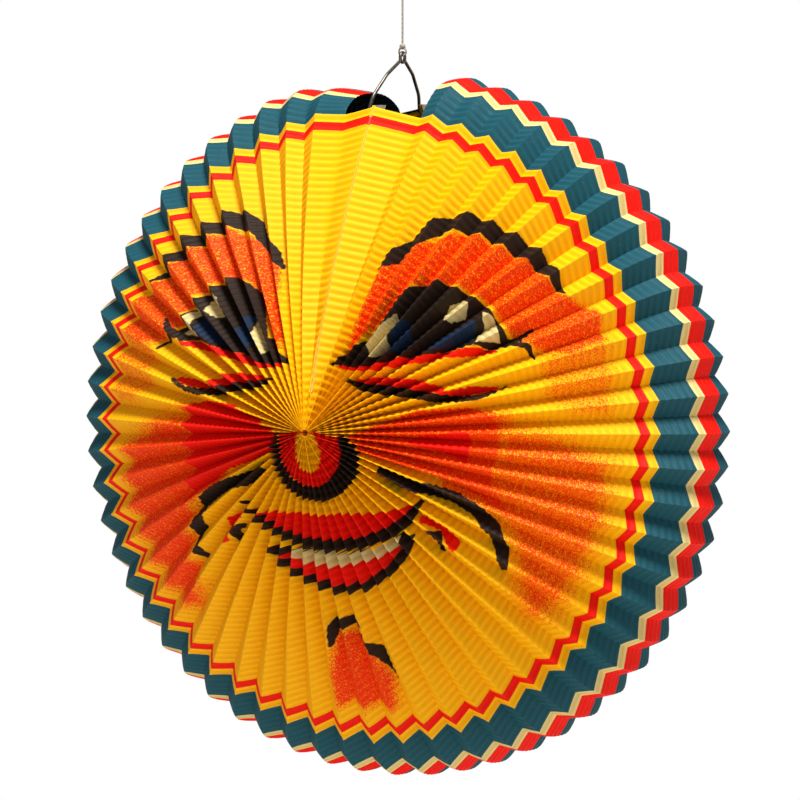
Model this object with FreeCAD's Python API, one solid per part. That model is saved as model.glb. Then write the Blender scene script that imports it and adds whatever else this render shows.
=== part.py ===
import FreeCAD, Part
import math
import os

# Accordion paper lantern. Millimetres, +Z up, front towards -Y, +X to the viewer's right.
# Everything is drawn with the drum's axis on the Y axis and its middle plane at Y = 0,
# then moved down so that the origin is the hanging point inside the top loop.

V3 = FreeCAD.Vector

# pleated paper
RIM_R = 125.0            # mountain folds at the middle of the rim
FACE_R = 112.0           # mountain folds where the painted face ends
HALF_DEPTH = 22.0        # middle plane to that circle
HUB_BULGE = 51.0         # how far the hub stands in front of that circle
HUB_SLOPE = 0.30         # slope of the face at the hub
HUB_R = 8.0              # paper starts here
PITCH = 6.0              # degrees between mountain folds
END_PITCH = 12.0         # the stretched pleat at each end of a half sheet
RIGHT_END_VALLEY = 9.5   # where the stretched pleat's valley fold lies, from the parting
LEFT_END_VALLEY = 6.0
GORES = 7                # per half sheet
PLEATS_PER_GORE = 4
SHEET = 0.6              # paper with its crimp, measured along the profile's normal
HUB_FOLD = 7.5           # fold depth at the hub
FACE_FOLD = 5.2          # fold depth at the edge of the face
RIM_FOLD = 4.0           # fold depth on the rim
FACE_STATIONS = (8.0, 30.0, 55.0, 78.0, 98.0, 112.0)
CORNER_STATIONS = (0.25, 0.5, 0.75, 1.0)

# end strips of card
STRIP_T = 0.5
STRIP_GAP = 0.1          # from the parting plane to a strip
STRIP_DEPTH = 8.0
STRIP_IN_R = 14.0
STRIP_OUT_R = 112.8
HOLE_R = 1.5
HOLE_AT_R = 109.5
HOLE_DEPTH = 4.0

# bottom seam card
SEAM_T = 0.5
SEAM_IN_R = 30.0
SEAM_INNER_DEPTH = 9.0

# candle holder on the seam card
PLATE_X, PLATE_Y, PLATE_T = 15.0, 24.0, 0.4
PLATE_Z = -(RIM_R - SEAM_INNER_DEPTH)
LEG_T, LEG_Y, LEG_H = 0.4, 10.0, 4.5
SOCKET_R = 6.25
SOCKET_DEPTH = 12.0
CUP_WALL = 0.4
CUP_RIM_R = 9.0
RIVET_R = 1.0
RIVET_HEAD_R = 1.8
RIVET_HEAD_T = 0.5
RIVET_Y = 9.0

# wire bail
WIRE_R = 0.6
FOOT_X = 3.5
EYE_R = 1.7
EYE_Z = 129.5
FOOT_BEND = 1.3
LEG_BEND = 7.0

# thread
THREAD_R = 0.35
TIE_RING_R = 1.4         # thread passed round the eye
TIE_BOTTOM_Z = 130.2
KNOT_R = 1.1
KNOT_Z = 133.4
THREAD_LEN = 30.5
LOOP_R = 4.0
LOOP_LIFT = 0.15         # the thread's end is saddled round the loop's strand
HUB_TIE_R = 5.2
HUB_TIE_WIRE = 0.5

THREAD_Z0 = KNOT_Z + KNOT_R
THREAD_Z1 = THREAD_Z0 + THREAD_LEN
LOOP_Z = THREAD_Z1 + LOOP_R + LOOP_LIFT
HANG_Z = LOOP_Z + LOOP_R - THREAD_R


def face_y(r):
    """Depth of a mountain fold on the front face."""
    curve = (HUB_BULGE - HUB_SLOPE * FACE_R) / FACE_R ** 2
    return -HALF_DEPTH - HUB_BULGE + HUB_SLOPE * r + curve * r * r


def corner(t):
    """The rounded corner from the edge of the face to the middle of the rim."""
    pts = ((FACE_R, -HALF_DEPTH), (RIM_R - 0.1, -14.6), (RIM_R, -6.0), (RIM_R, 0.0))
    w = ((1 - t) ** 3, 3 * (1 - t) ** 2 * t, 3 * (1 - t) * t * t, t ** 3)
    return (sum(a * p[0] for a, p in zip(w, pts)), sum(a * p[1] for a, p in zip(w, pts)))


def fold_depth(r, y):
    """How deep the valley folds lie under the mountain folds."""
    if y < -HALF_DEPTH - 0.01 or r < FACE_R:
        return HUB_FOLD + (FACE_FOLD - HUB_FOLD) * r / FACE_R
    return RIM_FOLD + (FACE_FOLD - RIM_FOLD) * abs(y) / HALF_DEPTH


def profile():
    """(r, y, normal r, normal y, fold depth) at each station, front hub to back hub."""
    front = [(r, face_y(r)) for r in FACE_STATIONS]
    front += [corner(t) for t in CORNER_STATIONS]
    pts = front + [(r, -y) for r, y in reversed(front[:-1])]
    out = []
    for i, (r, y) in enumerate(pts):
        a = pts[max(i - 1, 0)]
        b = pts[min(i + 1, len(pts) - 1)]
        size = math.hypot(b[0] - a[0], b[1] - a[1])
        depth = fold_depth(r, -abs(y))
        out.append((r, y, -(b[1] - a[1]) / size, (b[0] - a[0]) / size, depth))
    return out


STATIONS = profile()
FACE_LAST = len(FACE_STATIONS) - 1


def column(angle, valley, x=None):
    """The outer and inner points of one fold line at an angle from the top."""
    a = math.radians(angle)
    outer, inner = [], []
    for r, y, nr, ny, depth in STATIONS:
        drop = depth if valley else 0.0
        for side, d in ((outer, drop), (inner, drop + SHEET)):
            rr, yy = r + nr * d, y + ny * d
            side.append(V3(rr * math.sin(a) if x is None else x, yy, rr * math.cos(a)))
    return outer, inner


def sheet_solid(columns, cells):
    """A closed thin solid over the listed cells (column, segment) of a folded sheet."""
    n = len(STATIONS)
    verts = []
    for outer, inner in columns:
        verts += outer + inner
    count = len(columns)

    def at(j, i, side):
        return (j * 2 + side) * n + i

    tris, edges = [], {}
    for j, i in cells:
        quad = [(j, i), (j + 1, i), (j + 1, i + 1), (j, i + 1)]
        for tri in ((quad[0], quad[1], quad[2]), (quad[0], quad[2], quad[3])):
            tris.append(tuple(at(a, b, 0) for a, b in tri))
            tris.append(tuple(at(a, b, 1) for a, b in reversed(tri)))
        for k in range(4):
            edge = (quad[k], quad[(k + 1) % 4])
            if (edge[1], edge[0]) in edges:
                del edges[edge[1], edge[0]]
            else:
                edges[edge] = True
    for p, q in edges:
        po, qo = at(*p, 0), at(*q, 0)
        pi, qi = at(*p, 1), at(*q, 1)
        tris.append((qo, po, pi))
        tris.append((qo, pi, qi))
    assert count * 2 * n == len(verts)
    used = sorted({v for t in tris for v in t})
    place = {v: k for k, v in enumerate(used)}
    shape = Part.Shape()
    shape.makeShapeFromMesh(([verts[v] for v in used], [tuple(place[v] for v in t) for t in tris]), 0.0001)
    solid = Part.makeSolid(shape)
    if solid.Volume < 0:
        solid.reverse()
    return solid.removeSplitter()


def turned(shape, angle):
    """A copy turned clockwise about the drum's axis, seen from the front."""
    copy = shape.copy()
    copy.rotate(V3(0, 0, 0), V3(0, 1, 0), angle)
    return copy


def mirrored(shape):
    return shape.mirror(V3(0, 0, 0), V3(1, 0, 0))


def gore():
    """Four regular pleats, starting at the top."""
    folds = 2 * PLEATS_PER_GORE
    columns = [column(k * PITCH / 2, k % 2 == 1) for k in range(folds + 1)]
    cells = [(j, i) for j in range(folds) for i in range(len(STATIONS) - 1)]
    return sheet_solid(columns, cells)


def end_pleat(valley_angle):
    """The stretched pleat at a sheet's end. Its last facet has no rim: that is the chimney."""
    last = len(STATIONS) - 1
    columns = [column(0, False, x=STRIP_GAP + STRIP_T), column(valley_angle, True), column(END_PITCH, False)]
    cells = [(1, i) for i in range(last)]
    cells += [(0, i) for i in range(last) if i < FACE_LAST or i >= last - FACE_LAST]
    return sheet_solid(columns, cells)


def profile_at(r):
    """Depth and inward normal of the front face's mountain fold at radius r."""
    slope = HUB_SLOPE + 2 * (HUB_BULGE - HUB_SLOPE * FACE_R) / FACE_R ** 2 * r
    size = math.hypot(1, slope)
    return face_y(r), -slope / size, 1 / size


def plate_yz(points, x0, x1):
    """A flat plate across X whose outline is a list of (y, z)."""
    wire = Part.makePolygon([V3(x0, y, z) for y, z in points + points[:1]])
    return Part.Face(wire).extrude(V3(x1 - x0, 0, 0))


def end_strip():
    """The right half's front strip. It lies just inside the end fold, flush with it."""
    radii = [STRIP_IN_R, 30, 55, 78, 98, STRIP_OUT_R]
    front = [(face_y(r), r) for r in radii]
    back = [(face_y(r) + STRIP_DEPTH, r) for r in reversed(radii)]
    card = plate_yz(front + back, STRIP_GAP, STRIP_GAP + STRIP_T)
    y = face_y(HOLE_AT_R) + HOLE_DEPTH
    hole = Part.makeCylinder(HOLE_R, 4, V3(-2, y, HOLE_AT_R), V3(1, 0, 0))
    return card.cut(hole)


def seam_card():
    """A U of card inside the bottom mountain fold, from face to face."""
    outer, inner = [], []
    for r, y, nr, ny, depth in STATIONS:
        if r < SEAM_IN_R - 0.1:
            continue
        d = SHEET + depth * SEAM_T / 2 / (r * math.sin(math.radians(PITCH / 2))) + 0.1
        outer.append((y + ny * d, -(r + nr * d)))
        inner.append((y + ny * SEAM_INNER_DEPTH, -(r + nr * SEAM_INNER_DEPTH)))
    card = plate_yz(outer + inner[::-1], -SEAM_T / 2, SEAM_T / 2)
    # a notch with a flat floor for the clip's plate, deeper under the rivet's head
    seat = Part.makeBox(4, PLATE_Y + 0.2, 30, V3(-2, -PLATE_Y / 2 - 0.1, PLATE_Z))
    relief = Part.makeBox(4, 2 * RIVET_HEAD_R + 0.3, 30,
                          V3(-2, RIVET_Y - RIVET_HEAD_R - 0.15, PLATE_Z - RIVET_HEAD_T - 0.1))
    return card.cut(seat.fuse(relief))


def candle_clip():
    """Spring-steel plate on the card's inner edge, with a leg down each side of the card."""
    plate = Part.makeBox(PLATE_X, PLATE_Y, PLATE_T, V3(-PLATE_X / 2, -PLATE_Y / 2, PLATE_Z))
    for sx in (-1, 1):
        x = sx * (SEAM_T / 2 + 0.02) if sx > 0 else -(SEAM_T / 2 + 0.02) - LEG_T
        plate = plate.fuse(Part.makeBox(LEG_T, LEG_Y, LEG_H + 0.1, V3(x, -LEG_Y / 2, PLATE_Z - LEG_H)))
    edges = [e for e in plate.Edges if abs(e.Length - PLATE_T) < 1e-6 and abs(e.Vertexes[0].X) > PLATE_X / 2 - 0.1]
    plate = plate.makeFillet(3.0, edges)
    hole = Part.makeCylinder(RIVET_R + 0.05, 4, V3(0, RIVET_Y, PLATE_Z - 1), V3(0, 0, 1))
    return plate.cut(hole)


def candle_socket():
    """Spun tin cup with a flared drip rim. Its ear takes the rivet."""
    z = PLATE_Z + PLATE_T
    outer = SOCKET_R + CUP_WALL
    section = [
        (0, z), (outer, z), (outer, z + SOCKET_DEPTH - 1.6), (CUP_RIM_R, z + SOCKET_DEPTH),
        (CUP_RIM_R - 0.5, z + SOCKET_DEPTH + CUP_WALL), (SOCKET_R, z + SOCKET_DEPTH - 1.1),
        (SOCKET_R, z + CUP_WALL), (0, z + CUP_WALL), (0, z),
    ]
    cup = Part.Face(Part.makePolygon([V3(r, 0, h) for r, h in section])).revolve(V3(0, 0, 0), V3(0, 0, 1), 360)
    ear = Part.makeBox(4.4, 5.8, CUP_WALL, V3(-2.2, 5.5, z))
    ear = ear.cut(Part.makeCylinder(SOCKET_R + 0.1, 2, V3(0, 0, z - 1)))
    hole = Part.makeCylinder(RIVET_R + 0.05, 4, V3(0, RIVET_Y, z - 1))
    return cup.fuse(ear).cut(hole)


def cup_rivet():
    """Holds the socket's ear to the clip, with a head on each side."""
    low = PLATE_Z - RIVET_HEAD_T
    high = PLATE_Z + PLATE_T + CUP_WALL
    rivet = Part.makeCylinder(RIVET_R, high + RIVET_HEAD_T - low, V3(0, RIVET_Y, low))
    for z in (low, high):
        rivet = rivet.fuse(Part.makeCylinder(RIVET_HEAD_R, RIVET_HEAD_T, V3(0, RIVET_Y, z)))
    return rivet


def pipe(points, radius, bends):
    """Round wire along straight runs joined by arcs, with a bend radius for each inner point."""
    pts = [V3(*p) for p in points]
    edges, start = [], pts[0]
    for i in range(1, len(pts) - 1):
        a = (pts[i - 1] - pts[i]).normalize()
        b = (pts[i + 1] - pts[i]).normalize()
        half = a.getAngle(b) / 2
        bend = bends[i - 1]
        back = bend / math.tan(half)
        p, q = pts[i] + a * back, pts[i] + b * back
        centre = pts[i] + (a + b).normalize() * (bend / math.sin(half))
        mid = centre + (pts[i] - centre).normalize() * bend
        edges.append(Part.LineSegment(start, p).toShape())
        edges.append(Part.Arc(p, mid, q).toShape())
        start = q
    edges.append(Part.LineSegment(start, pts[-1]).toShape())
    first = (pts[1] - pts[0]).normalize()
    ring = Part.Wire([Part.makeCircle(radius, pts[0], first)])
    return Part.Wire(edges).makePipeShell([ring], True, True)


def bail_wire():
    """A round eye, two arched legs and two L-feet that run through the strips' holes."""
    y = face_y(HOLE_AT_R) + HOLE_DEPTH
    wire = Part.makeTorus(EYE_R, WIRE_R, V3(0, 0, EYE_Z), V3(1, 0, 0))
    for s in (1, -1):
        route = [
            (FOOT_X, s * y, HOLE_AT_R), (-FOOT_X, s * y, HOLE_AT_R), (-2.6, s * (y + 2.2), HOLE_AT_R + 6.5),
            (-1.1, s * (y + 9.8), HOLE_AT_R + 14.0), (0.0, -s * EYE_R * 0.82, EYE_Z - EYE_R * 0.6)]
        leg = pipe(route, WIRE_R, (FOOT_BEND, LEG_BEND, LEG_BEND))
        wire = wire.fuse(leg)
    return wire


def thread_knot():
    """Thread passed through the eye, with the knot above it."""
    centre = TIE_BOTTOM_Z + TIE_RING_R
    ring = Part.makeTorus(TIE_RING_R, THREAD_R, V3(0, 0, centre), V3(0, 1, 0))
    return ring.fuse(Part.makeSphere(KNOT_R, V3(0, 0, KNOT_Z)))


def hub_tie():
    """Thread that gathers the folds at the front hub."""
    y = face_y(HUB_R) + 4.0
    return Part.makeTorus(HUB_TIE_R, HUB_TIE_WIRE, V3(0, y, 0), V3(0, 1, 0))


def back_of(shape):
    """The same piece on the back face."""
    return shape.mirror(V3(0, 0, 0), V3(0, 1, 0))


nodes = {}
one_gore = gore()
strip = end_strip()
nodes["right_end_pleat"] = end_pleat(RIGHT_END_VALLEY)
nodes["left_end_pleat"] = mirrored(end_pleat(LEFT_END_VALLEY))
for k in range(GORES):
    span = PITCH * PLEATS_PER_GORE
    nodes["right_pleats_%d" % (k + 1)] = turned(one_gore, END_PITCH + span * k)
    nodes["left_pleats_%d" % (k + 1)] = turned(one_gore, 360 - END_PITCH - span * (k + 1))
nodes["right_front_strip"] = strip
nodes["right_back_strip"] = back_of(strip)
nodes["left_front_strip"] = mirrored(strip)
nodes["left_back_strip"] = back_of(mirrored(strip))
nodes["bottom_seam_card"] = seam_card()
nodes["candle_clip"] = candle_clip()
nodes["candle_socket"] = candle_socket()
nodes["cup_rivet"] = cup_rivet()
nodes["bail_wire"] = bail_wire()
nodes["front_hub_tie"] = hub_tie()
nodes["back_hub_tie"] = back_of(hub_tie())
nodes["thread_knot"] = thread_knot()
loop = Part.makeTorus(LOOP_R, THREAD_R, V3(0, 0, LOOP_Z), V3(0, 1, 0))
nodes["hanging_thread"] = Part.makeCylinder(THREAD_R, THREAD_LEN, V3(0, 0, THREAD_Z0), V3(0, 0, 1)).cut(loop)
nodes["thread_loop"] = loop

os.makedirs("parts", exist_ok=True)
for name, shape in nodes.items():
    shape = shape.copy()
    shape.translate(V3(0, 0, -HANG_Z))
    if shape.ShapeType == "Compound" and len(shape.Solids) == 1:
        shape = shape.Solids[0]
    print(name, shape.ShapeType, shape.isValid(), len(shape.Solids), round(shape.Volume, 1), len(shape.Faces))
    shape.exportStep("parts/%s.step" % name)
print("hang", HANG_Z)
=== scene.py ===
import math

import bpy
import numpy as np
from mathutils import Matrix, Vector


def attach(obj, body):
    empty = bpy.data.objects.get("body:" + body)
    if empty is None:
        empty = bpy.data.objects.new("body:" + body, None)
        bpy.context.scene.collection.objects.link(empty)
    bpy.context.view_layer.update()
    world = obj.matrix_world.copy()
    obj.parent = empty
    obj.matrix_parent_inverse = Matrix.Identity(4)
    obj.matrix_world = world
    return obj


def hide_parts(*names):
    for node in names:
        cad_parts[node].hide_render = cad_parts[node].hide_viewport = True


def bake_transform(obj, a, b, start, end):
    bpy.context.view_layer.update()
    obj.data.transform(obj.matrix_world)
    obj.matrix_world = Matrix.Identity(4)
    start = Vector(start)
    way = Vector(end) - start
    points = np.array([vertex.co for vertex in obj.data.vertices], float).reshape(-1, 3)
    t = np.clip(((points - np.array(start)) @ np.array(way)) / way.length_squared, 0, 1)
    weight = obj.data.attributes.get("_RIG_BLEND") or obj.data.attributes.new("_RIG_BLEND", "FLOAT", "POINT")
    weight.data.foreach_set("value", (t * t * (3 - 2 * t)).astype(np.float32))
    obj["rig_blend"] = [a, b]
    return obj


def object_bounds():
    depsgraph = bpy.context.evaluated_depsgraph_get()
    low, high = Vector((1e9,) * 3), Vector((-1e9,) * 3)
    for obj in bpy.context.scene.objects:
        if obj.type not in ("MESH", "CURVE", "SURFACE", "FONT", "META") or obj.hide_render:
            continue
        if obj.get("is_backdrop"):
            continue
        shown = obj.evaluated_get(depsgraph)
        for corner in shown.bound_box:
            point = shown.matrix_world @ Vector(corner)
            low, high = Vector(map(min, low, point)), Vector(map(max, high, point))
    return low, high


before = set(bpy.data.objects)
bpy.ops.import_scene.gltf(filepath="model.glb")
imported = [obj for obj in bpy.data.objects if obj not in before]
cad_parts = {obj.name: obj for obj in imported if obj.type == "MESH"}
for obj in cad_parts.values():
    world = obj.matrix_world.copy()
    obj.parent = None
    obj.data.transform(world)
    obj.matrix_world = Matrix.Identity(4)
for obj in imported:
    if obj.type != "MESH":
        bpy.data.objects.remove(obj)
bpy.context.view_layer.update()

# --- Camera and light -------------------------------------------------------
# A long lens a little to the lantern's right and a little above its middle.
# The drum's axis lies AXIS_Z below the hanging point, and its middle plane at Y = 0.
AXIS_Z = -0.1728
scene = bpy.context.scene
camera = bpy.data.objects.new("camera", bpy.data.cameras.new("camera"))
scene.collection.objects.link(camera)
scene.camera = camera
azimuth, elevation, distance = math.radians(28.06), math.radians(3.15), 2.6
FRAME_WIDTH = 0.2817  # what the lens takes in at the face
face_centre = np.array([0.0, -0.022, AXIS_Z])
towards_camera = np.array([math.sin(azimuth) * math.cos(elevation),
                           -math.cos(azimuth) * math.cos(elevation), math.sin(elevation)])
camera.location = face_centre + towards_camera * distance
camera.rotation_euler = (math.pi / 2 - elevation, 0, azimuth)
camera.data.sensor_width = 36
camera.data.lens = camera.data.sensor_width * distance / FRAME_WIDTH
camera.data.shift_x, camera.data.shift_y = 0.0334, 0.0325
camera.data.clip_start, camera.data.clip_end = 0.05, 50
scene.view_settings.view_transform = "Standard"

# A white horizon, a quiet top and warm light from below, as over a wooden table.
world = bpy.data.worlds.new("studio")
scene.world = world
world.use_nodes = True
sky = world.node_tree
sky.nodes.clear()
sky_out = sky.nodes.new("ShaderNodeOutputWorld")
sky_light = sky.nodes.new("ShaderNodeBackground")
sky_ramp = sky.nodes.new("ShaderNodeValToRGB")
sky_split = sky.nodes.new("ShaderNodeSeparateXYZ")
sky_range = sky.nodes.new("ShaderNodeMapRange")
sky_dir = sky.nodes.new("ShaderNodeTexCoord")
sky.links.new(sky_dir.outputs["Generated"], sky_split.inputs[0])
sky.links.new(sky_split.outputs["Z"], sky_range.inputs["Value"])
sky_range.inputs["From Min"].default_value = -1
sky.links.new(sky_range.outputs["Result"], sky_ramp.inputs["Fac"])
sky.links.new(sky_ramp.outputs["Color"], sky_light.inputs["Color"])
sky.links.new(sky_light.outputs[0], sky_out.inputs[0])
ramp = sky_ramp.color_ramp
ramp.elements[0].position, ramp.elements[0].color = 0.25, (0.40, 0.20, 0.10, 1)
ramp.elements[1].position, ramp.elements[1].color = 0.80, (0.20, 0.22, 0.26, 1)
for place, colour in ((0.41, (0.60, 0.42, 0.30, 1)), (0.44, (1, 1, 1, 1)), (0.54, (1, 1, 1, 1)),
                      (0.62, (0.30, 0.31, 0.34, 1))):
    ramp.elements.new(place).color = colour

for name, place, size, power, colour in (
    ("key", (0.35, -0.45, 1.15), 0.4, 36.0, (1.0, 1.0, 0.97)),
    ("warm fill", (0.15, -1.1, -0.75), 0.9, 3.5, (1.0, 0.62, 0.36)),
):
    lamp = bpy.data.objects.new(name, bpy.data.lights.new(name, "AREA"))
    lamp.data.energy, lamp.data.size, lamp.data.color = power, size, colour
    lamp.location = place
    aim = np.array([0, 0, AXIS_Z]) - np.array(place)
    tip = math.atan2(math.hypot(aim[0], aim[1]), -aim[2])
    lamp.rotation_euler = (tip, 0, math.atan2(-aim[0], aim[1]))
    scene.collection.objects.link(lamp)

bpy.ops.mesh.primitive_circle_add(vertices=96, radius=0.9, fill_type="NGON", location=(0, 0, -0.42))
floor = bpy.context.object
floor.name = "floor"
floor_look = bpy.data.materials.new("pale floor")
floor_look.use_nodes = True
floor_look.node_tree.nodes["Principled BSDF"].inputs["Base Color"].default_value = (0.86, 0.80, 0.72, 1)
floor_look.node_tree.nodes["Principled BSDF"].inputs["Roughness"].default_value = 0.7
floor.data.materials.append(floor_look)
floor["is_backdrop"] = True

# --- Hanging thread ---------------------------------------------------------
# Two-ply cotton, pulled straight by the lantern's weight. It runs from the knot
# on the bail's eye up to the loop that the lantern hangs by.
THREAD_LOW, THREAD_HIGH, THREAD_R, THREAD_SPANS = -0.0383, -0.0078, 0.00035, 8
thread_curve = bpy.data.curves.new("hanging thread", "CURVE")
thread_curve.dimensions = "3D"
spline = thread_curve.splines.new("POLY")
spline.points.add(THREAD_SPANS)
for i, point in enumerate(spline.points):
    point.co = (0, 0, THREAD_LOW + (THREAD_HIGH - THREAD_LOW) * i / THREAD_SPANS, 1)
    point.radius = THREAD_R
thread_curve.bevel_depth = 1.0  # the points' own radius is the thread's
thread_curve.bevel_resolution = 4
thread = bpy.data.objects.new("thread", thread_curve)
scene.collection.objects.link(thread)
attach(thread, "thread")
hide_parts("hanging_thread")


def new_material(name, colour, roughness, metallic=0.0):
    """A material with one Principled shader, returned with its tree and shader."""
    made = bpy.data.materials.new(name)
    made.use_nodes = True
    shader = made.node_tree.nodes["Principled BSDF"]
    shader.inputs["Base Color"].default_value = (*colour, 1)
    shader.inputs["Roughness"].default_value = roughness
    shader.inputs["Metallic"].default_value = metallic
    return made, made.node_tree, shader


def put(tree, kind, settings=None, **values):
    """Adds a node, sets its properties and its inputs by name."""
    node = tree.nodes.new(kind)
    for key, value in (settings or {}).items():
        setattr(node, key, value)
    for key, value in values.items():
        node.inputs[key.replace("_", " ")].default_value = value
    return node


def maths(tree, operation, a, b=None, c=None):
    """A math node whose operands are numbers or sockets."""
    node = tree.nodes.new("ShaderNodeMath")
    node.operation = operation
    for socket, value in zip(node.inputs, (a, b, c)):
        if value is None:
            continue
        if isinstance(value, (int, float)):
            socket.default_value = value
        else:
            tree.links.new(value, socket)
    return node.outputs[0]


# Twisted strands: diagonal ridges by height and angle round the thread.
twist = bpy.data.node_groups.new("twisted strands", "ShaderNodeTree")
turn_length = twist.interface.new_socket("Turn Length", in_out="INPUT", socket_type="NodeSocketFloat")
turn_length.default_value = 0.0016
twist.interface.new_socket("Ridge", in_out="OUTPUT", socket_type="NodeSocketFloat")
twist_in, twist_out = twist.nodes.new("NodeGroupInput"), twist.nodes.new("NodeGroupOutput")
thread_at = twist.nodes.new("ShaderNodeSeparateXYZ")
twist.links.new(twist.nodes.new("ShaderNodeTexCoord").outputs["Object"], thread_at.inputs[0])
turn_angle = maths(twist, "ARCTAN2", thread_at.outputs["Y"], thread_at.outputs["X"])
height = maths(twist, "MULTIPLY", thread_at.outputs["Z"], 2 * math.pi)
climb = maths(twist, "DIVIDE", height, twist_in.outputs["Turn Length"])
ridge_wave = maths(twist, "SINE", maths(twist, "ADD", maths(twist, "MULTIPLY", turn_angle, 2), climb))
twist.links.new(ridge_wave, twist_out.inputs[0])


def thread_material(name, colour):
    """Matt cotton with twisted strands."""
    made, tree, shader = new_material(name, colour, 0.85)
    strands = put(tree, "ShaderNodeGroup", {"node_tree": twist})
    bump = put(tree, "ShaderNodeBump", Strength=0.6, Distance=0.0001)
    tree.links.new(strands.outputs[0], bump.inputs["Height"])
    tree.links.new(bump.outputs[0], shader.inputs["Normal"])
    return made


grey_thread = thread_material("grey twisted thread", (0.30, 0.27, 0.22))
thread_curve.materials.append(grey_thread)
for node in ("thread_loop", "thread_knot"):
    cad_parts[node].data.materials.clear()
    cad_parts[node].data.materials.append(grey_thread)

# --- Wire bail --------------------------------------------------------------
# One length of drawn steel wire: a round eye, two legs and two feet that pass
# through the end strips. Faint marks run along it from the drawing die.
drawn, tree, shader = new_material("drawn wire", (0.13, 0.115, 0.09), 0.34, 1.0)
marks = put(tree, "ShaderNodeTexNoise", Scale=900.0, Detail=3.0)
tree.links.new(tree.nodes.new("ShaderNodeTexCoord").outputs["Object"], marks.inputs["Vector"])
rough = put(tree, "ShaderNodeMapRange", To_Min=0.25, To_Max=0.5)
tree.links.new(marks.outputs[0], rough.inputs["Value"])
tree.links.new(rough.outputs[0], shader.inputs["Roughness"])
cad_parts["bail_wire"].data.materials.clear()
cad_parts["bail_wire"].data.materials.append(drawn)

# --- Card strips and seam card ----------------------------------------------
# Grey-brown strawboard, glued along the two ends of each half sheet and inside
# the bottom seam. Short fibres show as specks.
YELLOW, RED = (0.86, 0.45, 0.0, 1), (0.78, 0.008, 0.002, 1)
RING_R, RING_HALF_WIDTH = 0.1074, 0.0014
card, tree, shader = new_material("strawboard", (0.46, 0.38, 0.26), 0.8)
fibres = put(tree, "ShaderNodeTexNoise", Scale=1400.0, Detail=4.0, Roughness=0.7)
stretch = put(tree, "ShaderNodeMapping")
stretch.inputs["Scale"].default_value = (1, 0.35, 1)
tree.links.new(tree.nodes.new("ShaderNodeTexCoord").outputs["Object"], stretch.inputs["Vector"])
tree.links.new(stretch.outputs[0], fibres.inputs["Vector"])
tone = put(tree, "ShaderNodeValToRGB")
dark, pale = tone.color_ramp.elements
dark.position, dark.color = 0.38, (0.36, 0.28, 0.17, 1)
pale.position, pale.color = 0.62, (0.52, 0.43, 0.30, 1)
tree.links.new(fibres.outputs[0], tone.inputs["Fac"])
# the printed paper is turned over the strips' outer edges, with its red ring
card_at = tree.nodes.new("ShaderNodeSeparateXYZ")
card_faces = tree.nodes.new("ShaderNodeSeparateXYZ")
card_coords = tree.nodes.new("ShaderNodeTexCoord")
tree.links.new(card_coords.outputs["Object"], card_at.inputs[0])
tree.links.new(card_coords.outputs["Normal"], card_faces.inputs[0])
above_axis = maths(tree, "SUBTRACT", card_at.outputs["Z"], AXIS_Z)
on_ring = maths(tree, "COMPARE", above_axis, RING_R, RING_HALF_WIDTH)
ring_print = tree.nodes.new("ShaderNodeMix")
ring_print.data_type = "RGBA"
tree.links.new(on_ring, ring_print.inputs[0])
ring_print.inputs[6].default_value, ring_print.inputs[7].default_value = YELLOW, RED
turned_over = tree.nodes.new("ShaderNodeMix")
turned_over.data_type = "RGBA"
outer_edge = maths(tree, "GREATER_THAN", maths(tree, "ABSOLUTE", card_faces.outputs["Y"]), 0.6)
tree.links.new(outer_edge, turned_over.inputs[0])
tree.links.new(tone.outputs[0], turned_over.inputs[6])
tree.links.new(ring_print.outputs[2], turned_over.inputs[7])
tree.links.new(turned_over.outputs[2], shader.inputs["Base Color"])
for node in ("right_front_strip", "right_back_strip", "left_front_strip", "left_back_strip",
             "bottom_seam_card"):
    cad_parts[node].data.materials.clear()
    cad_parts[node].data.materials.append(card)

# --- Candle holder ----------------------------------------------------------
# A spring-steel clip on the seam card, a spun tin socket with a drip rim, and
# the rivet that joins them.
for name, colour, low, high, nodes in (
    ("rolled spring steel", (0.40, 0.40, 0.41), 0.28, 0.45, ("candle_clip",)),
    ("bright tin", (0.66, 0.65, 0.62), 0.16, 0.34, ("candle_socket", "cup_rivet")),
):
    tin, tree, shader = new_material(name, colour, 0.3, 1.0)
    wear = put(tree, "ShaderNodeTexNoise", Scale=260.0, Detail=5.0)
    tree.links.new(tree.nodes.new("ShaderNodeTexCoord").outputs["Object"], wear.inputs["Vector"])
    span = put(tree, "ShaderNodeMapRange", To_Min=low, To_Max=high)
    tree.links.new(wear.outputs[0], span.inputs["Value"])
    tree.links.new(span.outputs[0], shader.inputs["Roughness"])
    for node in nodes:
        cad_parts[node].data.materials.clear()
        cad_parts[node].data.materials.append(tin)

# --- Hub ties ---------------------------------------------------------------
# Dark cotton, drawn through the inner corners of all the folds and knotted, one
# tie to a hub. It keeps the pleats gathered to a point.
dark_thread = thread_material("dark cotton", (0.10, 0.07, 0.05))
for node in ("front_hub_tie", "back_hub_tie"):
    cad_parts[node].data.materials.clear()
    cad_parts[node].data.materials.append(dark_thread)

# --- Pleated paper: how a half sheet is folded ------------------------------
# Two half sheets of crimped paper, 29 pleats each, made here as eight gores that
# meet at mountain folds. Each fold runs from the front hub over the rim to the
# back hub, along one of two lines: the mountain fold's or the valley fold's.
FACE_R, RIM_R, HALF_DEPTH, BULGE, HUB_SLOPE = 0.112, 0.125, 0.022, 0.051, 0.30
HUB_R, HUB_VALLEY_R = 0.0013, 0.0007
HUB_FOLD, EDGE_FOLD, RIM_FOLD = 0.0075, 0.0052, 0.0040


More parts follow.
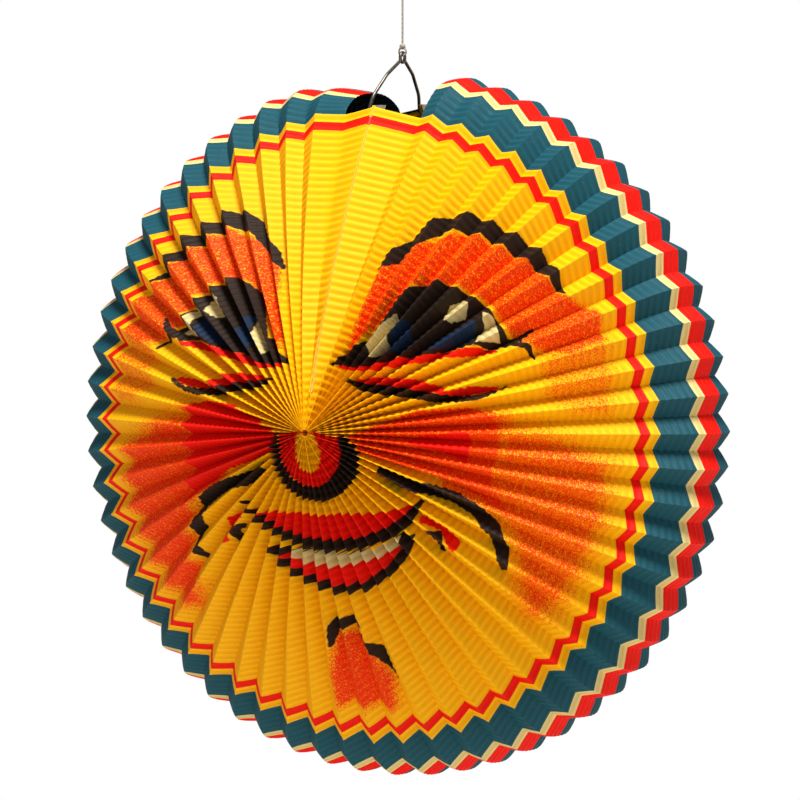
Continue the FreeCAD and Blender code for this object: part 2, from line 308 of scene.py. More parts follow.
def corner(t):
    """The rounded corner from the face's edge to the middle of the rim."""
    points = np.array([[FACE_R, -HALF_DEPTH], [RIM_R - 0.0001, -0.0146], [RIM_R, -0.006], [RIM_R, 0]])
    weights = np.array([(1 - t) ** 3, 3 * (1 - t) ** 2 * t, 3 * (1 - t) * t * t, t ** 3])
    return weights.T @ points


face_r = np.linspace(HUB_R, FACE_R, 120)
bend = (BULGE - HUB_SLOPE * FACE_R) / FACE_R ** 2
face_line = np.stack([face_r, -HALF_DEPTH - BULGE + HUB_SLOPE * face_r + bend * face_r ** 2], 1)
front_line = np.concatenate([face_line, corner(np.linspace(0.03, 1, 40))])
mountain = np.concatenate([front_line, front_line[-2::-1] * [1, -1]])
slope = np.gradient(mountain, axis=0)
slope /= np.linalg.norm(slope, axis=1)[:, None]
inward = np.stack([-slope[:, 1], slope[:, 0]], 1)
on_face = np.abs(mountain[:, 1]) >= HALF_DEPTH
depth = np.where(on_face, HUB_FOLD + (EDGE_FOLD - HUB_FOLD) * mountain[:, 0] / FACE_R,
                 RIM_FOLD + (EDGE_FOLD - RIM_FOLD) * np.abs(mountain[:, 1]) / HALF_DEPTH)
valley = mountain + inward * depth[:, None]
valley[:, 0] = np.maximum(valley[:, 0], HUB_VALLEY_R)
arc = np.concatenate([[0], np.cumsum(np.linalg.norm(np.diff(mountain, axis=0), axis=1))])
SHEET_LENGTH = float(arc[-1])


def profile_curve(name, line):
    """A poly curve in the XY plane: X is the radius and Y the depth."""
    # evenly spaced by the mountain's own length, so that both lines keep in step
    even = np.linspace(0, arc[-1], 400)
    radii, depths = np.interp(even, arc, line[:, 0]), np.interp(even, arc, line[:, 1])
    data = bpy.data.curves.new(name, "CURVE")
    data.dimensions = "3D"
    data.splines.new("POLY").points.add(len(even) - 1)
    for point, r, y in zip(data.splines[0].points, radii, depths):
        point.co = (r, y, 0, 1)
    made = bpy.data.objects.new(name, data)
    scene.collection.objects.link(made)
    return made


mountain_curve = profile_curve("mountain fold", mountain)
valley_curve = profile_curve("valley fold", valley)

# The flat sheet is a grid, long side from hub to hub. Each facet spans one
# mountain and one valley fold; the crimps are embossed square to the folds.
CRIMP_PITCH = 0.0028
pleater = bpy.data.node_groups.new("pleated sheet", "GeometryNodeTree")
for name, kind, value in (
    ("Start Angle", "Float", 0.0), ("Half Pitch", "Float", 3.0), ("Facets", "Int", 8),
    ("Columns Per Facet", "Int", 4), ("Stations", "Int", 540), ("Sheet Length", "Float", SHEET_LENGTH),
    ("Crimp Pitch", "Float", CRIMP_PITCH), ("Crimp Height", "Float", 0.00026), ("Chimney Facet", "Int", -1),
    ("Chimney Half Width", "Float", 0.1), ("Unevenness", "Float", 0.7), ("First Valley Shift", "Float", 0.0),
    ("Top Slack", "Float", 0.62), ("Fold Depth", "Float", 0.88), ("Valley Slide", "Float", 0.0043),
    ("Left Sag", "Float", 0.75),
):
    pleater.interface.new_socket(name, in_out="INPUT", socket_type="NodeSocket" + kind).default_value = value
for name, kind in (("Mountain", "Object"), ("Valley", "Object"), ("Paper", "Material")):
    pleater.interface.new_socket(name, in_out="INPUT", socket_type="NodeSocket" + kind)
pleater.interface.new_socket("Sheet", in_out="OUTPUT", socket_type="NodeSocketGeometry")
given = pleater.nodes.new("NodeGroupInput").outputs
result = pleater.nodes.new("NodeGroupOutput")
join = pleater.links.new


def vector(operation, a, b=None, scale=None):
    """A vector math node in the pleating tree."""
    node = pleater.nodes.new("ShaderNodeVectorMath")
    node.operation = operation
    for socket, value in ((node.inputs[0], a), (node.inputs[1], b), (node.inputs[3], scale)):
        if isinstance(value, (int, float)):
            socket.default_value = value
        elif value is not None:
            join(value, socket)
    return node.outputs["Vector"]


def blend_of(a, b, factor):
    """Straight mix of two vectors."""
    node = pleater.nodes.new("ShaderNodeMix")
    node.data_type = "VECTOR"
    join(factor, node.inputs[0])
    join(a, node.inputs[4])
    join(b, node.inputs[5])
    return node.outputs[1]


def number(operation, a, b=None, c=None):
    """A math node in the pleating tree."""
    return maths(pleater, operation, a, b, c)


grid = put(pleater, "GeometryNodeMeshGrid", Size_X=1.0, Size_Y=1.0)
join(given["Stations"], grid.inputs["Vertices X"])
columns = number("MULTIPLY", given["Facets"], given["Columns Per Facet"])
join(number("ADD", columns, 1.0), grid.inputs["Vertices Y"])
flat = pleater.nodes.new("ShaderNodeSeparateXYZ")
join(pleater.nodes.new("GeometryNodeInputPosition").outputs[0], flat.inputs[0])
along = number("ADD", flat.outputs["X"], 0.5)
across = number("MULTIPLY", number("ADD", flat.outputs["Y"], 0.5), given["Facets"])
facet = number("FLOOR", number("MINIMUM", across, number("SUBTRACT", given["Facets"], 0.001)))
share = number("SUBTRACT", across, facet)

# the chimney: one facet loses its rim
off_middle = number("ABSOLUTE", number("SUBTRACT", along, 0.5))
middle = number("LESS_THAN", off_middle, given["Chimney Half Width"])
chosen = number("MULTIPLY", middle, number("COMPARE", facet, given["Chimney Facet"], 0.1))
cut = put(pleater, "GeometryNodeDeleteGeometry", {"domain": "FACE"})
join(grid.outputs["Mesh"], cut.inputs["Geometry"])
join(chosen, cut.inputs["Selection"])


def fold_point(offset):
    """The point of fold number facet + offset, on its own line at its own angle."""
    index = number("ADD", facet, float(offset))
    angle = number("ADD", given["Start Angle"], number("MULTIPLY", index, given["Half Pitch"]))
    wander = put(pleater, "ShaderNodeTexNoise", {"noise_dimensions": "2D"}, Scale=1.0, Detail=1.0)
    where = pleater.nodes.new("ShaderNodeCombineXYZ")
    join(number("MULTIPLY", angle, 0.23), where.inputs[0])
    join(number("MULTIPLY", along, 2.6), where.inputs[1])
    join(where.outputs[0], wander.inputs["Vector"])
    jitter = number("MULTIPLY", number("SUBTRACT", wander.outputs[0], 0.5), given["Unevenness"])
    first_valley = number("COMPARE", index, 1.0, 0.1)
    angle = number("ADD", angle, number("MULTIPLY", first_valley, given["First Valley Shift"]))
    # no wander beside the end strips, where the sine of half the angle is near zero
    clear = number("ABSOLUTE", number("SINE", number("MULTIPLY", angle, math.pi / 360)))
    jitter = number("MULTIPLY", jitter, number("MINIMUM", number("MULTIPLY", clear, 8.0), 1.0))
    angle = number("RADIANS", number("ADD", angle, jitter))
    sides = []
    for socket in ("Mountain", "Valley"):
        info = pleater.nodes.new("GeometryNodeObjectInfo")
        join(given[socket], info.inputs["Object"])
        sample = put(pleater, "GeometryNodeSampleCurve", {"mode": "FACTOR", "use_all_curves": True})
        join(info.outputs["Geometry"], sample.inputs["Curves"])
        # the valley's shorter path lets its paper slide a little towards the rim
        once_round = number("SINE", number("MULTIPLY", along, 2 * math.pi))
        slide = number("MULTIPLY", once_round, given["Valley Slide"])
        join(number("ADD", along, slide) if socket == "Valley" else along, sample.inputs["Factor"])
        sides.append(sample.outputs)
    mix = pleater.nodes.new("ShaderNodeMix")
    mix.data_type = "VECTOR"
    # the pleats beside the end strips are pulled nearly flat on the faces
    nearness = number("MAXIMUM", number("SUBTRACT", 1.0, number("MULTIPLY", clear, 3.2)), 0.0)
    near_top = number("MULTIPLY", nearness, given["Top Slack"])
    depth_here = number("MULTIPLY", number("SUBTRACT", 1.0, near_top), given["Fold Depth"])
    join(number("MULTIPLY", number("FLOORED_MODULO", index, 2.0), depth_here), mix.inputs[0])
    join(sides[0]["Position"], mix.inputs[4])
    join(sides[1]["Position"], mix.inputs[5])
    line = pleater.nodes.new("ShaderNodeSeparateXYZ")
    join(mix.outputs[1], line.inputs[0])
    # the rim's free end beside the left strips sags towards the face's edge
    left_end = number("SUBTRACT", number("DIVIDE", angle, math.radians(20)), 17.0)
    left_end = number("MAXIMUM", left_end, 0.0)
    droop = number("MULTIPLY", number("MULTIPLY", left_end, given["Left Sag"]),
                   number("MAXIMUM", number("SUBTRACT", line.outputs["X"], FACE_R), 0.0))
    radius = number("SUBTRACT", line.outputs["X"], droop)
    point = pleater.nodes.new("ShaderNodeCombineXYZ")
    join(number("MULTIPLY", radius, number("SINE", angle)), point.inputs[0])
    join(line.outputs["Y"], point.inputs[1])
    join(number("MULTIPLY", radius, number("COSINE", angle)), point.inputs[2])
    return point.outputs[0], angle, sides[0]["Tangent"]


left_fold, left_angle, tangent = fold_point(0)
right_fold = fold_point(1)[0]
on_facet = blend_of(left_fold, right_fold, share)

# crimps: a wave along the sheet, square to the facet, dying out at the folds
run = pleater.nodes.new("ShaderNodeSeparateXYZ")
join(tangent, run.inputs[0])
heading = pleater.nodes.new("ShaderNodeCombineXYZ")
join(number("MULTIPLY", run.outputs["X"], number("SINE", left_angle)), heading.inputs[0])
join(run.outputs["Y"], heading.inputs[1])
join(number("MULTIPLY", run.outputs["X"], number("COSINE", left_angle)), heading.inputs[2])
over = vector("SUBTRACT", right_fold, left_fold)
square = vector("NORMALIZE", vector("CROSS_PRODUCT", over, heading.outputs[0]))
turns = number("MULTIPLY", along, number("MULTIPLY", given["Sheet Length"], 2 * math.pi))
phase = number("DIVIDE", turns, given["Crimp Pitch"])
hump = number("MULTIPLY", share, number("SUBTRACT", 1.0, share))
swell = number("MINIMUM", number("MULTIPLY", hump, 6.0), 1.0)
swell = number("ADD", 0.25, number("MULTIPLY", swell, 0.75))
wave = number("MULTIPLY", number("MULTIPLY", number("SINE", phase), given["Crimp Height"]), swell)
crimped = vector("ADD", on_facet, vector("SCALE", square, scale=wave))

# each point keeps its place on the flat sheet: share of the length, facet, angle
kept = pleater.nodes.new("ShaderNodeCombineXYZ")
join(along, kept.inputs[0])
join(across, kept.inputs[1])
join(number("ADD", given["Start Angle"], number("MULTIPLY", across, given["Half Pitch"])), kept.inputs[2])
note = put(pleater, "GeometryNodeStoreNamedAttribute",
           {"data_type": "FLOAT_VECTOR", "domain": "POINT"}, Name="sheet")
join(cut.outputs[0], note.inputs["Geometry"])
join(kept.outputs[0], note.inputs["Value"])
shape = pleater.nodes.new("GeometryNodeSetPosition")
join(note.outputs[0], shape.inputs["Geometry"])
join(crimped, shape.inputs["Position"])
dress = pleater.nodes.new("GeometryNodeSetMaterial")
join(shape.outputs[0], dress.inputs["Geometry"])
join(given["Paper"], dress.inputs["Material"])
real = pleater.nodes.new("GeometryNodeRealizeInstances")
join(dress.outputs[0], real.inputs[0])
join(real.outputs[0], result.inputs[0])

# --- Pleated paper: what is printed on it -----------------------------------
# A smiling moon face, printed flat before the sheet is folded, in five inks on
# yellow. Sizes are millimetres on the face, X to the viewer's right and Z up. A
# stroke is (x, z, half width) points, and a patch the corners of a filled shape.
BROW = [(17, 57, 0.6), (21, 61, 2.2), (27, 66, 2.0), (33, 71.5, 2.6), (40, 73.5, 2.9), (46, 73.5, 3.2),
        (53, 71, 2.7), (61, 67, 2.8), (69, 62.5, 2.7), (76, 56, 2.1), (81, 49, 0.5)]
EYE = [(8.5, 24), (12, 28), (16, 31), (20, 38), (25, 48), (30, 51), (38, 53.5), (44, 51.5), (50, 48.5),
       (57, 44), (61.5, 38), (65, 32.5), (60, 29.3), (54, 31), (45, 29), (36, 27), (29, 26.5),
       (20, 23.8), (13, 22.8)]
LASHES = [[(6, 24, 0.6), (10, 25.5, 1.4), (16, 31, 1.2)],
          [(63, 31.5, 1.3), (68, 33.5, 1.0), (72, 37, 0.6)],
          [(60, 31, 0.8), (66, 31.8, 1.0), (71, 30.6, 0.9), (73.4, 26.5, 0.5)]]
UNDER_EYE = [(12.5, 18.5, 0.6), (18, 16.2, 1.3), (25, 15.3, 1.6), (33, 14.3, 1.6), (42, 12.6, 1.5),
             (50, 12.2, 1.2), (57, 13, 0.9), (65, 16.5, 0.4)]
EYE_WHITES = [[(17.6, 26.5), (17.8, 31), (21.5, 37.5), (25.5, 42), (26.3, 40), (24.3, 34), (24.5, 29.5),
               (21, 26.8)],
              [(42, 40), (43.5, 45), (47.5, 47.2), (50.3, 45), (49.5, 40.5), (45, 38.6)],
              [(55, 43), (59.2, 40.5), (61.2, 35), (61.8, 32.3), (53.5, 32), (56.2, 37)]]
IRIS_BLUE = [[(26.5, 40), (25.2, 34), (25.5, 29), (30, 27.8), (33, 32), (31, 39)],
             [(49, 31.5), (44, 30), (38, 29), (41, 33), (48, 36.5), (52, 40), (54, 38), (53, 33)]]
LID = [(17, 57), (27, 66), (46, 71), (68, 61), (82, 48), (92, 44), (96, 33), (84, 27), (73, 30),
       (65, 34), (57, 45), (44, 52), (30, 51), (20, 38), (9, 25), (13, 42)]
TEMPLE = [(66, 36), (80, 46), (97, 38), (101, 20), (100, 4), (86, 5), (76, 12), (74, 26)]
UNDER_LID = [(9, 23.2, 0.8), (18, 23.0, 1.4), (30, 25.2, 1.5), (42, 27.2, 1.3), (55, 29.0, 1.3),
             (61, 28.8, 0.5)]
POUCH = [[(15, 18.2, 0.6), (24, 17.8, 2.0), (36, 16.8, 2.2), (44, 15.2, 1.2)],
         [(44, 13.6, 0.8), (54, 15.2, 1.6), (62, 16.0, 0.8)]]
CHEEK = [(14, -1), (24, 3.5), (37, 8.5), (53, 9.5), (59, 8), (63, 4.5), (63, -6), (60, -16), (66, -30),
         (58, -24), (46, -17), (40, -14.5), (27, -10.5), (18, -7)]
JOWL = [(63, 6), (80, 3), (101, -8), (99, -30), (90, -50), (78, -66), (66, -70), (61, -58), (63, -46),
        (61, -32), (52, -22), (58, -6)]
NOSE = [(-14, -1.5, 0.8), (-15.3, -6, 2.0), (-14, -12, 2.3), (-11, -17.5, 2.5), (-5, -21.3, 2.6),
        (2, -22, 2.6), (8.5, -19, 3.0), (13.5, -13, 3.4), (14.5, -7, 2.9), (12.3, -2, 1.2)]
NOSTRILS = [(-12.5, -1), (-13, -8), (-10, -15), (-4, -19), (3, -19.5), (9, -16), (12.5, -9), (11.5, -2),
            (4, 0.5), (-5, 0.5)]
NOSE_TIP = [(-3.6, 0), (-5.5, -8), (-3.8, -13), (-0.5, -14.5), (3, -12.5), (5, -7), (3.2, 0)]
SMILE = [(24.5, -13, 1.3), (30, -17, 2.3), (40, -19.5, 2.1), (48, -22.5, 2.3), (55, -27, 2.4),
         (60, -34, 2.3), (61.8, -41, 2.4), (61.3, -48.5, 1.2)]
DIMPLE = [(37.4, -34.6, 0.8), (41.0, -36.2, 1.4), (42, -41.5, 1.1)]
DIMPLE_RED = [(36, -30.6, 0.8), (43, -33.6, 1.7), (46, -39.5, 1.7)]
UPPER_LIP = [(-31, -27.5), (-28, -29.5), (-20, -29), (-9, -28.8), (0, -29.6), (7, -28.8), (21, -28.5),
             (29, -26.8), (36, -24.5), (32, -30), (26, -35), (16, -38), (5, -39), (-11, -38), (-21, -36),
             (-27, -33)]
MOUTH = [(-34.5, -26.5, 0.8), (-28, -32, 1.8), (-19, -36.6, 2.0), (-8, -39.8, 2.1), (2, -40.6, 2.2),
         (13, -39.4, 2.1), (24, -35.8, 2.0), (31, -31, 1.9), (37, -24, 0.7)]
TEETH = [(-17, -41.8), (-4, -43), (8, -43.2), (19, -41), (28, -36.4), (27, -40.4), (20, -44),
         (11, -46.8), (1, -48.4), (-13, -47)]
LOWER_LIP = [(-27, -41), (-17, -41.8), (-4, -43), (8, -43.2), (19, -41), (30, -35.5), (33, -36),
             (30, -43), (23, -50), (13, -56), (2, -58), (-7, -55.8), (-15, -52.5), (-21, -48.5)]
CHIN = [[(-7, -77, 0.8), (-5, -71, 1.9), (0, -68.2, 2.0), (6, -69, 1.4)],
        [(5, -73.5, 1.0), (11, -79.5, 1.7), (15.5, -89.5, 0.7)]]
CHIN_RED = [(-6, -73), (0, -69.5), (6, -72), (11, -80), (15, -89), (14, -101), (-12, -101), (-11, -88)]


def stroke_distance(x, z, points):
    """Signed distance to a brush stroke; negative inside."""
    best = np.full(len(x), 99.0)
    for (ax, az, aw), (bx, bz, bw) in zip(points, points[1:]):
        dx, dz = bx - ax, bz - az
        t = np.clip(((x - ax) * dx + (z - az) * dz) / (dx * dx + dz * dz), 0, 1)
        best = np.minimum(best, np.hypot(x - ax - t * dx, z - az - t * dz) - (aw + (bw - aw) * t))
    return best


def patch_distance(x, z, corners):
    """Signed distance to a filled shape; negative inside."""
    best, inside = np.full(len(x), 99.0), np.zeros(len(x), bool)
    for (ax, az), (bx, bz) in zip(corners, corners[1:] + corners[:1]):
        dx, dz = bx - ax, bz - az
        t = np.clip(((x - ax) * dx + (z - az) * dz) / (dx * dx + dz * dz), 0, 1)
        best = np.minimum(best, np.hypot(x - ax - t * dx, z - az - t * dz))
        if dz != 0:
            inside ^= ((az > z) != (bz > z)) & (x < ax + (z - az) * dx / dz)
    return np.where(inside, -best, best)


def inks(x, z):
    """Signed distances in millimetres of each ink, and the density of the stippled orange, with painted
    light and shade on the cheeks.
    """
    # the eyes mirror each other about X = -3, and the smile's two ends about X = 0.5
    eye = -3 + np.abs(x + 3)
    low = np.abs(x - 0.5) + 0.5
    # the lower lip has a black outline, which the teeth interrupt
    lip = patch_distance(x, z, LOWER_LIP)
    lip_outline = np.maximum(lip, -lip - 2.4) - 0.4 + 9 * (z > -41.5) * (np.abs(x) < 27)
    black = np.minimum.reduce(
        [stroke_distance(eye, z, s) for s in [BROW, UNDER_EYE] + LASHES] + [patch_distance(eye, z, EYE)]
        + [stroke_distance(low, z, s) for s in (SMILE, DIMPLE)]
        + [stroke_distance(x, z, s) for s in [NOSE, MOUTH] + CHIN]
        + [lip_outline]
    )
    white = np.minimum.reduce([patch_distance(eye, z, p) for p in EYE_WHITES]
                              + [patch_distance(x, z, TEETH)])
    navy = np.minimum.reduce([patch_distance(eye, z, p) for p in IRIS_BLUE])
    red = np.minimum.reduce(
        [stroke_distance(eye, z, s) for s in [UNDER_LID] + POUCH]
        # the right cheek is kept out of the solid red and sprayed instead, a little more orange: painted
        # light on the lit right side
        + [patch_distance(np.abs(x), z, CHEEK) + 9 * (x > 0)]
        + [stroke_distance(low, z, DIMPLE_RED), patch_distance(x, z, UPPER_LIP), lip]
        + [np.maximum(patch_distance(x, z, NOSTRILS), -patch_distance(x, z, NOSE_TIP))]
    )
    # sprayed shapes: how dense each is, and over how many millimetres its edge fades
    stipple = np.zeros(len(x))
    for shape, where, strength, soft in ((LID, eye, 0.92, 2.4), (TEMPLE, eye, 0.66, 9.0),
                                         (JOWL, np.abs(x), 0.84, 14.0), (CHIN_RED, x, 1.0, 6.0)):
        stipple = np.maximum(stipple, strength * np.clip(0.5 - patch_distance(where, z, shape) / soft, 0, 1))
    # the right cheek is sprayed solid, a little more orange than the left's red, as painted light; and the
    # left jowl a little denser than the right, as painted shade
    stipple = np.maximum(stipple, (x > 0) * np.clip(0.5 - patch_distance(x, z, CHEEK) / 1.2, 0, 1))
    left_jowl_painted_shade = (x < 0) * np.clip(0.5 - patch_distance(-x, z, JOWL) / 9, 0, 1)
    stipple = np.minimum(stipple + 0.22 * left_jowl_painted_shade, 1.0)
    # spray round the outer half of each cheek, and in the middle of the chin
    near_cheek = np.clip(1 - patch_distance(np.abs(x), z, CHEEK) / 14, 0, 1) * (z < 8)
    stipple = np.maximum(stipple, 0.85 * near_cheek * (z < -2 + 0.2 * np.abs(x)) * (np.abs(x) > 44))
    stipple = np.maximum(stipple, 0.9 * np.clip(1 - np.hypot(x, (z + 77) / 1.2) / 14, 0, 1))
    return {"black": black, "white": white, "navy": navy, "red": red, "stipple": stipple}


# Printed paper. The bands round the rim follow the distance from the front hub;
# the face comes from the ink distances, with slightly ragged edges and dots, and painted shade lies along
# the crimps.
ragged = bpy.data.node_groups.new("ragged ink edge", "ShaderNodeTree")
ragged.interface.new_socket("Distance", in_out="INPUT", socket_type="NodeSocketFloat")
ragged.interface.new_socket("Where", in_out="INPUT", socket_type="NodeSocketVector")
ragged.interface.new_socket("Mask", in_out="OUTPUT", socket_type="NodeSocketFloat")
ragged_in, ragged_out = ragged.nodes.new("NodeGroupInput"), ragged.nodes.new("NodeGroupOutput")
wobble = put(ragged, "ShaderNodeTexNoise", Scale=700.0, Detail=2.0)
ragged.links.new(ragged_in.outputs["Where"], wobble.inputs["Vector"])
shift = maths(ragged, "MULTIPLY", maths(ragged, "SUBTRACT", wobble.outputs[0], 0.5), 0.9)
shifted = maths(ragged, "ADD", ragged_in.outputs["Distance"], shift)
edge = put(ragged, "ShaderNodeMapRange", From_Min=0.14, From_Max=-0.14)
ragged.links.new(shifted, edge.inputs["Value"])
ragged.links.new(edge.outputs[0], ragged_out.inputs[0])

printed, tree, shader = new_material("printed crimped paper", YELLOW[:3], 0.6)
shader.inputs["Specular IOR Level"].default_value = 0.12
where = put(tree, "ShaderNodeAttribute", {"attribute_name": "flat"}).outputs["Vector"]
sheet_at = tree.nodes.new("ShaderNodeSeparateXYZ")
on_sheet = put(tree, "ShaderNodeAttribute", {"attribute_name": "sheet"}).outputs["Vector"]
tree.links.new(on_sheet, sheet_at.inputs[0])
BLUE, CREAM = (0.010, 0.078, 0.108, 1), (0.66, 0.55, 0.22, 1)


def arc_at(radius=None, y=None):
    """Share of the way from hub to hub of a radius on the front face, or of a depth on the rim."""
    line = front_line[:, 0] if radius else front_line[:, 1]
    if y is not None and y > 0:
        return 1 - arc_at(y=-y)
    return float(np.interp(radius or y, line, arc[:len(line)]) / SHEET_LENGTH)


ring = arc_at(radius=RING_R - RING_HALF_WIDTH), arc_at(radius=RING_R + RING_HALF_WIDTH)
bands = [(0.0, YELLOW), (ring[0], RED), (ring[1], YELLOW), (arc_at(y=-0.022), BLUE),
         (arc_at(y=-0.0129), CREAM), (arc_at(y=-0.0099), RED), (arc_at(y=-0.0010), BLUE),
         (arc_at(y=0.0220), YELLOW), (1 - ring[1], RED), (1 - ring[0], YELLOW)]
band_ramp = put(tree, "ShaderNodeValToRGB")
band_ramp.color_ramp.interpolation = "CONSTANT"
tree.links.new(sheet_at.outputs["X"], band_ramp.inputs["Fac"])
stops = band_ramp.color_ramp.elements
stops.remove(stops[1])
stops[0].position, stops[0].color = bands[0]
for place, colour in bands[1:]:
    stops.new(place).color = colour
paint = band_ramp.outputs["Color"]
dots = put(tree, "ShaderNodeTexNoise", Scale=2300.0, Detail=1.0)
tree.links.new(where, dots.inputs["Vector"])
density = put(tree, "ShaderNodeAttribute", {"attribute_name": "stipple"}).outputs["Fac"]
dotted = put(tree, "ShaderNodeMapRange", From_Min=0.0, From_Max=0.22)
threshold = maths(tree, "MULTIPLY_ADD", density, 0.52, 0.27)
tree.links.new(maths(tree, "SUBTRACT", threshold, dots.outputs[0]), dotted.inputs["Value"])
spray = put(tree, "ShaderNodeValToRGB")
thin, dense = spray.color_ramp.elements
thin.position, thin.color = 0.30, (0.86, 0.16, 0.0, 1)
dense.position, dense.color = 0.90, (0.80, 0.035, 0.0, 1)
tree.links.new(density, spray.inputs["Fac"])
layers = [(dotted.outputs[0], spray.outputs["Color"])]
for ink, colour in (("red", RED), ("black", (0.020, 0.011, 0.007, 1)),
                    ("navy", (0.008, 0.022, 0.055, 1)), ("white", (0.60, 0.50, 0.22, 1))):
    rag = put(tree, "ShaderNodeGroup", {"node_tree": ragged})
    laid = put(tree, "ShaderNodeAttribute", {"attribute_name": ink}).outputs["Fac"]
    tree.links.new(laid, rag.inputs["Distance"])
    tree.links.new(where, rag.inputs["Where"])
    layers.append((rag.outputs[0], colour))
for mask, colour in layers:
    layer = tree.nodes.new("ShaderNodeMix")
    layer.data_type = "RGBA"
    tree.links.new(mask, layer.inputs[0])
    tree.links.new(paint, layer.inputs[6])
    if isinstance(colour, tuple):
        layer.inputs[7].default_value = colour
    else:
        tree.links.new(colour, layer.inputs[7])
    paint = layer.outputs[2]

# painted shade: one flank of every crimp is darkened, as though in the shade of its ridge
crimps_along = 2 * math.pi * SHEET_LENGTH / CRIMP_PITCH
rib = maths(tree, "SINE", maths(tree, "MULTIPLY", sheet_at.outputs["X"], crimps_along))
painted_crimp_shade = tree.nodes.new("ShaderNodeMix")
painted_crimp_shade.data_type, painted_crimp_shade.blend_type = "RGBA", "MULTIPLY"
tree.links.new(maths(tree, "MULTIPLY_ADD", rib, 0.35, 0.35), painted_crimp_shade.inputs[0])
tree.links.new(paint, painted_crimp_shade.inputs[6])
# the warm dark tone of the painted crimp shade
painted_crimp_shade.inputs[7].default_value = (0.86, 0.70, 0.62, 1)
paint = painted_crimp_shade.outputs[2]
tree.links.new(paint, shader.inputs["Base Color"])
pulp = put(tree, "ShaderNodeTexNoise", Scale=2600.0, Detail=3.0)
tree.links.new(where, pulp.inputs["Vector"])
felt = put(tree, "ShaderNodeBump", Strength=0.25, Distance=0.0001)
tree.links.new(pulp.outputs[0], felt.inputs["Height"])
tree.links.new(felt.outputs[0], shader.inputs["Normal"])

plain, tree, shader = new_material("unprinted paper back", (0.70, 0.50, 0.16), 0.8)
mottle = put(tree, "ShaderNodeTexNoise", Scale=300.0, Detail=4.0)
tree.links.new(tree.nodes.new("ShaderNodeTexCoord").outputs["Object"], mottle.inputs["Vector"])
tone = put(tree, "ShaderNodeValToRGB")
tone.color_ramp.elements[0].color = (0.62, 0.42, 0.12, 1)
tone.color_ramp.elements[1].color = (0.78, 0.58, 0.22, 1)
tree.links.new(mottle.outputs[0], tone.inputs["Fac"])
tree.links.new(tone.outputs[0], shader.inputs["Base Color"])


PAPER_THICKNESS, SHARP_FOLD = 0.00012, 42
FOLD_RIGHT_DEGREES, FOLD_LEFT_DEGREES = 173, 180


def print_design(sheet_mesh, place):
    """Lays the design's attributes on a folded sheet; place is each vertex's spot on the flat sheet."""
    radius = np.interp(place[:, 0] * SHEET_LENGTH, arc, mountain[:, 0])
    y = np.interp(place[:, 0] * SHEET_LENGTH, arc, mountain[:, 1])
    angle = np.radians(place[:, 2])
    x, z = radius * np.sin(angle), radius * np.cos(angle)
    flat = sheet_mesh.attributes.new("flat", "FLOAT_VECTOR", "POINT")
    flat.data.foreach_set("vector", np.stack([x, y, z], 1).astype(np.float32).ravel())
    # the back face carries the same design, the right way round for its own viewer
    x_seen = np.where(place[:, 0] < 0.5, x, -x)
    off_face = np.clip((radius - 0.104) / 0.001, 0, 1)
    for ink, value in inks(x_seen * 1000, z * 1000).items():
        value = value * (1 - off_face) if ink == "stipple" else value + 40 * off_face
        held = sheet_mesh.attributes.new(ink, "FLOAT", "POINT")
        held.data.foreach_set("value", np.clip(value, -9, 9).astype(np.float32))


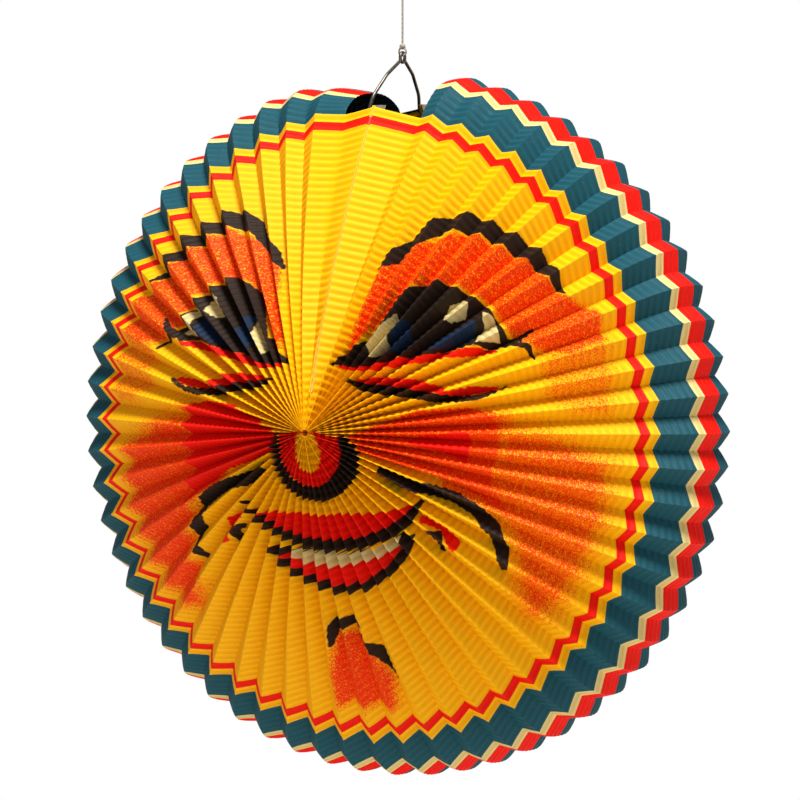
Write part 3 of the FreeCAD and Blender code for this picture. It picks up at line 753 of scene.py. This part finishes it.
def gore(node, start, half_pitch=3.0, facets=8, chimney=-1, shift=0.0):
    """One run of pleats in place of its CAD node, with the print and the share of the fold it follows."""
    made = bpy.data.objects.new("paper_" + node, bpy.data.meshes.new("paper_" + node))
    scene.collection.objects.link(made)
    folder = made.modifiers.new("pleats", "NODES")
    folder.node_group = pleater
    ids = {s.name: s.identifier for s in pleater.interface.items_tree if s.in_out == "INPUT"}
    for key, value in (
        ("Start Angle", float(start)), ("Half Pitch", float(half_pitch)), ("Facets", facets),
        ("First Valley Shift", float(shift)), ("Chimney Facet", chimney),
        ("Chimney Half Width", 0.5 - arc_at(y=-0.0219)),
        ("Mountain", mountain_curve), ("Valley", valley_curve), ("Paper", printed),
    ):
        folder[ids[key]] = value
    solid = made.modifiers.new("thickness", "SOLIDIFY")
    solid.thickness, solid.offset, solid.material_offset = PAPER_THICKNESS, -1, 1
    bpy.context.view_layer.update()
    done = bpy.data.meshes.new_from_object(made.evaluated_get(bpy.context.evaluated_depsgraph_get()))
    made.modifiers.clear()
    made.data = done
    done.materials.clear()
    done.materials.append(printed)
    done.materials.append(plain)
    done.transform(Matrix.Translation((0, 0, AXIS_Z)))
    done.shade_smooth()
    done.set_sharp_from_angle(angle=math.radians(SHARP_FOLD))
    place = np.zeros(len(done.vertices) * 3, np.float32)
    done.attributes["sheet"].data.foreach_get("vector", place)
    place = place.reshape(-1, 3)
    print_design(done, place)
    right = start < 180
    ends = ("right_end", "bottom") if right else ("bottom", "left_end")
    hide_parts(node)
    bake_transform(made, *ends, (0, 0, AXIS_Z + 0.1), (0, 0, AXIS_Z - 0.1))
    # each vertex follows its share of the fold; the right stack stays clear of the bail's feet
    stack = np.interp(place[:, 2], (0, 12, 180), (0, 2.2, 7.0))
    if right:
        closes = (place[:, 2] - stack) / FOLD_RIGHT_DEGREES
    else:
        closes = (place[:, 2] - 180) / FOLD_LEFT_DEGREES
    done.attributes["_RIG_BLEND"].data.foreach_set("value", np.clip(closes, 0, 1).astype(np.float32))


# --- Right half sheet -------------------------------------------------------
# Crimped paper, glued to the right end strips at the top and, clockwise from them,
# to the seam card at the bottom. Its first pleat is stretched, and the facet beside
# the strips has no rim: the chimney.
gore("right_end_pleat", 0.3, 5.85, 2, 0, 3.35)
for k in range(7):
    gore("right_pleats_%d" % (k + 1), 12 + 24 * k)

# --- Left half sheet --------------------------------------------------------
# From the bottom seam, clockwise up to the left end strips, glued to the seam card
# and the strips as the right one is. Its last facet has no rim either.
for k in range(7):
    gore("left_pleats_%d" % (k + 1), 360 - 12 - 24 * (k + 1))
gore("left_end_pleat", 348, 5.85, 2, 1)

for spent in (mountain_curve, valley_curve):
    bpy.data.objects.remove(spent)

low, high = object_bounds()
